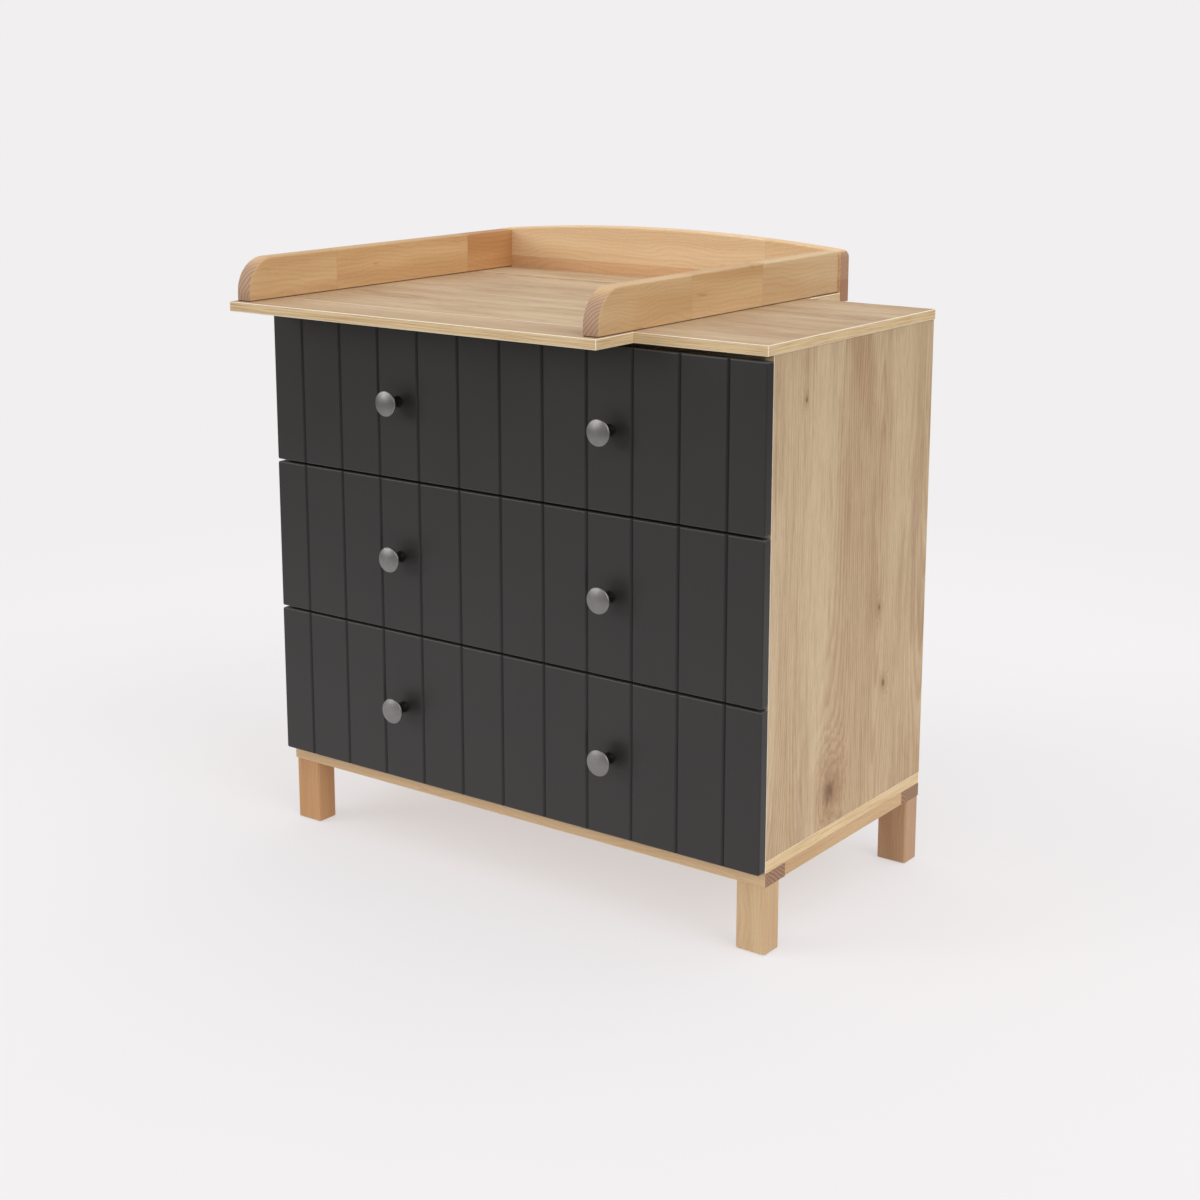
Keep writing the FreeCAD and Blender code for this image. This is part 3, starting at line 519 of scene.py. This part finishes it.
def zinc_steel(node, seed):
    """Rolled steel with a thin zinc coat: faint spangle, and rolling marks along the depth of the chest."""
    shade = Shade("zinc_" + node, seed)
    spangle = shade.noise(shade.place, (160.0, 160.0, 160.0), 4.0, 0.6)
    rolled = shade.noise(shade.place, (2600.0, 12.0, 2600.0), 2.0)
    base = shade.tint(shade.step(spangle, 0.35, 0.7), colour(*ZINC), SPANGLE_TINT)
    roughness = shade.step(spangle, 0.3, 0.75, 0.26, 0.42)
    return shade.finish(base, roughness, rolled, ROLLED_RELIEF, Metallic=1.0)


GLIDE_GREY = (92, 88, 84)
SCUFF_TINT = (0.82, 0.82, 0.82)
GRIT_RELIEF = 0.00005


def glide_plastic(node):
    """Moulded nylon with a fine spark-eroded surface and faint scuffs."""
    shade = Shade("plastic_" + node)
    grit = shade.noise(shade.place, (1800.0, 1800.0, 1800.0), 2.0)
    scuffs = shade.noise(shade.place, (300.0, 80.0, 300.0), 3.0)
    base = shade.tint(shade.step(scuffs, 0.4, 0.7), colour(*GLIDE_GREY), SCUFF_TINT)
    return shade.finish(base, shade.step(grit, 0.3, 0.7, 0.45, 0.6), grit, GRIT_RELIEF)


# ---------------------------------------------------------------- which piece gets which material

RAIL_LIGHT, RAIL_DARK = (218, 187, 142), (204, 166, 120)
PALE_LIGHT, PALE_DARK = (242, 213, 172), (231, 198, 154)
BASE_LIGHT, BASE_DARK = (214, 183, 142), (194, 159, 116)
# Each leg's light and dark wood tone; the front left and back right ones are darker, partly as painted
# shade
LEG_TONES_AND_SHADE = {
    "front_left": ((200, 155, 109), (180, 134, 88)),
    "front_right": ((209, 181, 142), (191, 157, 116)),
    "back_left": ((210, 172, 130), (190, 150, 107)),
    "back_right": ((184, 147, 113), (160, 124, 92)),
}
DOWEL_LIGHT, DOWEL_DARK = (214, 184, 146), (196, 160, 120)
# How a glued piece differs in colour from the first piece of its rail
REDDER = (0.85, 0.69, 0.58)
RUDDY = (0.90, 0.78, 0.72)
PALER = (1.0, 0.99, 0.97)
WARMER = (0.97, 0.93, 0.88)
ASHEN = (1.04, 1.10, 1.20)
# Knots, as knot_field takes them
RIGHT_KNOTS = ((0.075, 0.38, 0.022), (0.25, 0.72, 0.006), (0.42, 0.68, 0.004), (0.90, 0.19, 0.004))
LEFT_KNOTS = ((0.62, 0.40, 0.011), (0.2, 0.7, 0.005))
# Where the pith lies from the piece's lowest corner, across its width and depth
BASE_PITH = (-0.03, -0.03)
LEG_PITH = (-0.03, -0.05)
CONTACT_SHADE_HEIGHT = 0.0022  # painted contact shadow: the dark line where a rail stands on its board
TIERS = ("bottom", "middle", "top")


def dress(node, make, *settings, **named_settings):
    """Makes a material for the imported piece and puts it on."""
    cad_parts[node].material_slots[0].material = make(node, *settings, **named_settings)


def dress_carcass():
    """The boards of the chest and the strips of the changing frame."""
    dress("top_board", oak_decor, "xyz", 1)
    dress("changing_strip_front", oak_decor, "xyz", 2)
    dress("changing_strip_back", oak_decor, "xyz", 3)
    dress("side_panel_right", oak_decor, "zyx", 4, RIGHT_KNOTS)
    dress("side_panel_left", oak_decor, "zyx", 5, LEFT_KNOTS)
    dress("bottom_board", oak_decor, "xyz", 6)
    dress("front_stretcher", oak_decor, "xyz", 7)
    dress("back_panel", hardboard, "y", -1, 8)


def dress_solid_wood():
    """The changing frame's rails, the base frame, the legs and the dowels."""
    rail = {"light": RAIL_LIGHT, "dark": RAIL_DARK, "foot": CONTACT_SHADE_HEIGHT}
    left = [(0.314, WARMER), (0.821, REDDER)]
    right = [(0.362, PALER), (0.660, ASHEN)]
    dress("changing_rail_left", solid_wood, "yzx", 11, joints=left, **rail)
    dress("changing_rail_right", solid_wood, "yzx", 12, joints=right, **rail)
    back = {"joints": [(0.799, WARMER)], "glue_lines": [(0.36, RUDDY)]}
    dress("changing_rail_back", solid_wood, "xzy", 13, PALE_LIGHT, PALE_DARK, **back)
    base = {"light": BASE_LIGHT, "dark": BASE_DARK}
    for seed, side in enumerate(("front", "back"), 21):
        dress(f"base_{side}_rail", solid_wood, "xyz", seed, pith=BASE_PITH, ends=DARK_ENDS, **base)
    for seed, side in enumerate(("left", "right"), 23):
        dress(f"base_{side}_rail", solid_wood, "yxz", seed, **base)
    for seed, (corner, tones) in enumerate(LEG_TONES_AND_SHADE.items(), 31):
        dress(f"leg_{corner}", solid_wood, "zxy", seed, *tones, pith=LEG_PITH)
    dress("dowels", solid_wood, "xyz", 41, DOWEL_LIGHT, DOWEL_DARK)


def dress_drawers():
    """The drawers' fronts, knobs and boxes."""
    for seed, tier in enumerate(TIERS, 51):
        dress(f"drawer_front_{tier}", anthracite_lacquer, seed)
        dress(f"knobs_{tier}", satin_pewter)
        dress(f"drawer_side_left_{tier}", box_board, "yzx", seed)
        dress(f"drawer_side_right_{tier}", box_board, "yzx", seed + 10)
        dress(f"drawer_back_{tier}", box_board, "xzy", seed + 20)
        dress(f"drawer_floor_{tier}", hardboard, "z", 1, seed)


def dress_hardware():
    """The slides, screws, brackets and cam fittings, and the glides under the legs."""
    steel = ["cam_locks", "cam_bolts", "leg_screws", "base_screws", "rail_screws", "back_rail_screws"]
    steel.append("slide_cabinet_channels")
    kinds = ("drawer_brackets", "drawer_screws", "slide_middle", "slide_drawer")
    steel += [f"{kind}_{tier}" for tier in TIERS for kind in kinds]
    for seed, node in enumerate(steel):
        dress(node, zinc_steel, seed)
    dress("foot_glides", glide_plastic)


# ---------------------------------------------------------------- studio


def make_floor():
    """A round pale floor under the glides. It glows a little, as a light table does, and more so
    further out, until it is one with the backdrop."""
    mesh = bpy.data.meshes.new("floor")
    turns = [2 * math.pi * step / FLOOR_SIDES for step in range(FLOOR_SIDES)]
    rim = [(FLOOR_RADIUS * math.cos(turn), FLOOR_RADIUS * math.sin(turn), cad_box[0].z) for turn in turns]
    mesh.from_pydata(rim, [], [range(FLOOR_SIDES)])
    floor = bpy.data.objects.new("floor", mesh)
    bpy.context.scene.collection.objects.link(floor)
    shade = Shade("floor")
    away = shade.step(shade.length(shade.place), FLOOR_FADE, FLOOR_RADIUS)
    cloud = shade.noise(shade.place, (1.5, 1.5, 1.5), 2.0)
    base = shade.tint(shade.step(cloud, 0.3, 0.7), colour(*FLOOR_WHITE), FLOOR_CLOUD_TINT)
    base = shade.mix(away, base, (0.0, 0.0, 0.0, 1.0))
    shade.fill(shade.shader.inputs["Emission Strength"], shade.mix_value(away, FLOOR_GLOW, 1.0))
    mesh.materials.append(shade.finish(base, 1.0, Specular_IOR_Level=0.0))
    shade.shader.inputs["Emission Color"].default_value = colour(*BACKGROUND)


def make_light():
    """A white studio, brighter overhead than near the horizon, and a wide sun lamp for each soft box.

    The camera sees the studio as an even backdrop."""
    world = bpy.data.worlds.new("studio")
    world.use_nodes = True
    bpy.context.scene.world = world
    sky = Tree(world.node_tree)
    height = sky.split(sky.node("TexCoord").outputs["Generated"])[2]
    lit = sky.step(height, SKY_FROM, SKY_TO, SKY_LOW, SKY_HIGH)
    seen = sky.node("LightPath").outputs["Is Camera Ray"]
    background = world.node_tree.nodes["Background"]
    background.inputs["Color"].default_value = colour(*BACKGROUND)
    sky.fill(background.inputs["Strength"], sky.mix_value(seen, lit, 1.0))
    for name, toward, strength, spread in SOFT_BOXES:
        light = bpy.data.lights.new(name, "SUN")
        light.energy = strength
        light.angle = math.radians(spread)
        lamp = bpy.data.objects.new(name, light)
        lamp.rotation_mode = "QUATERNION"
        lamp.rotation_quaternion = toward.to_track_quat("Z", "Y")
        bpy.context.scene.collection.objects.link(lamp)


def make_camera():
    """The camera stands to the right of the front, a little above the top of the chest."""
    azimuth, elevation = math.radians(CAMERA_AZIMUTH), math.radians(CAMERA_ELEVATION)
    level = math.cos(elevation)
    back = Vector((math.sin(azimuth) * level, -math.cos(azimuth) * level, math.sin(elevation)))
    aim = (cad_box[0] + cad_box[1]) / 2 + CAMERA_AIM
    data = bpy.data.cameras.new("camera")
    data.sensor_width = CAMERA_SENSOR
    data.lens = CAMERA_LENS
    data.shift_y = CAMERA_SHIFT
    camera = bpy.data.objects.new("camera", data)
    camera.location = aim + back * CAMERA_DISTANCE
    camera.rotation_mode = "QUATERNION"
    camera.rotation_quaternion = back.to_track_quat("Z", "Y")
    bpy.context.scene.collection.objects.link(camera)
    bpy.context.scene.camera = camera


def main():
    bpy.context.scene.view_settings.view_transform = "Standard"
    dress_carcass()
    dress_solid_wood()
    dress_drawers()
    dress_hardware()
    make_floor()
    make_light()
    make_camera()


main()
